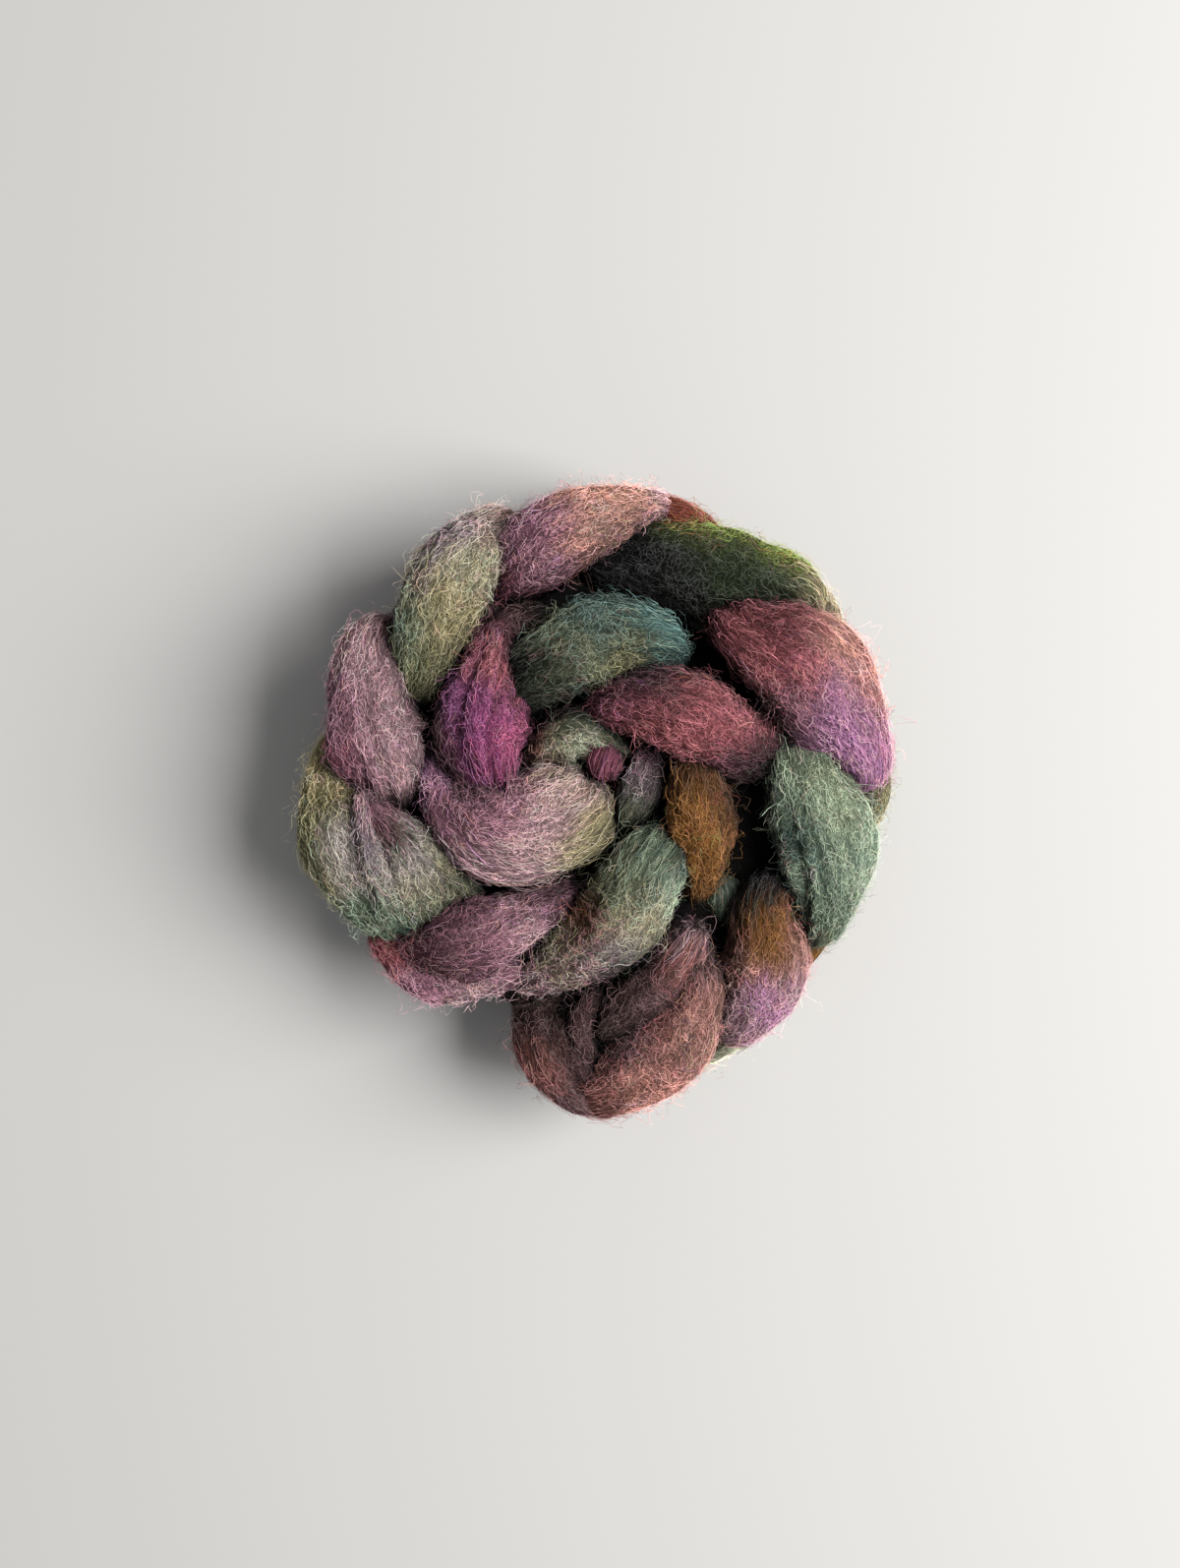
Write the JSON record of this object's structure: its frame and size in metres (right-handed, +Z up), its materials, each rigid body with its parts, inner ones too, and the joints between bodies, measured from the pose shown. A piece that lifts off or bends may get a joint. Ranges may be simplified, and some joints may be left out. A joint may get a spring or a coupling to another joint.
{
  "type": "braid of wool roving",
  "caption": "Chain-braided length of hand-dyed combed wool, coiled flat on its edge into a round rosette of fat rope-like loops.",
  "frame": {"origin": "middle of the coil's box, on the surface that it rests on", "axes": "+Z up out of the coil, +Y away from the chain's loose outer end, +X to the right of it seen from above"},
  "size_m": [0.1685, 0.18, 0.0516],
  "materials": {
    "dyed_wool": "matte"
  },
  "bodies": {
    "root": {"wool_braid": "dyed_wool"}
  },
  "joints": []
}
